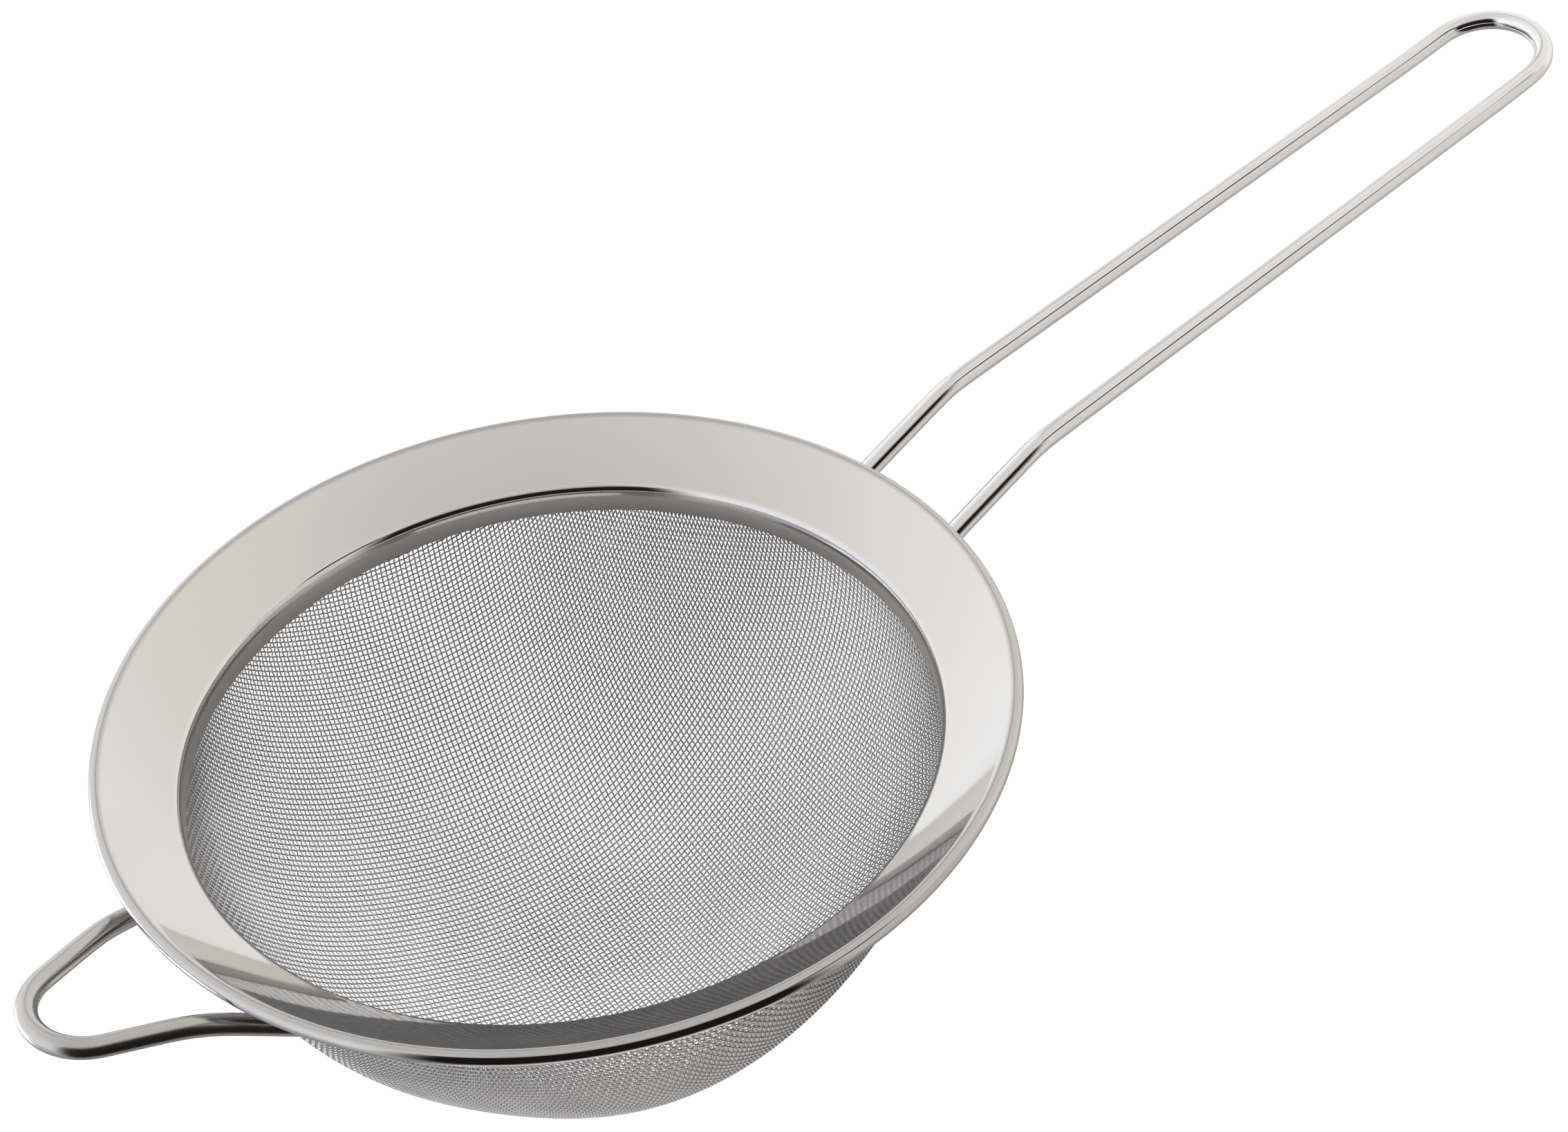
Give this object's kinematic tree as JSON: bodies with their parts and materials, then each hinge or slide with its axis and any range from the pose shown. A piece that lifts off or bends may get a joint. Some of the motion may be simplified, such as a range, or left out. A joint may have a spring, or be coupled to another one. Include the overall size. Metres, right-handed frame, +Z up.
{
  "type": "tea strainer",
  "caption": "Stainless tea strainer with a woven wire bowl, a wide dished rim with a rolled edge, a loop handle and a rest hook.",
  "frame": {"origin": "centre of the rim, in the plane of the rim's widest circle", "axes": "+Z up out of the bowl's mouth, +X along the handle towards its loop end, rest hook towards -X"},
  "size_m": [0.2664, 0.12, 0.0704],
  "materials": {
    "steel_mirror": "mirror polished stainless steel sheet",
    "steel_satin": "satin stainless steel strip",
    "steel_wire": "electropolished stainless steel rod",
    "steel_gauze": "plain woven fine stainless steel wire",
    "steel_weld": "resistance weld, lightly heat tinted"
  },
  "bodies": {
    "root": {"rim_flange": "steel_mirror", "mesh_clamp_ring": "steel_satin", "mesh_basket": "steel_gauze", "handle_wire": "steel_wire", "rest_hook": "steel_wire", "handle_weld_left": "steel_weld", "handle_weld_right": "steel_weld", "hook_weld_left": "steel_weld", "hook_weld_right": "steel_weld"}
  },
  "joints": []
}
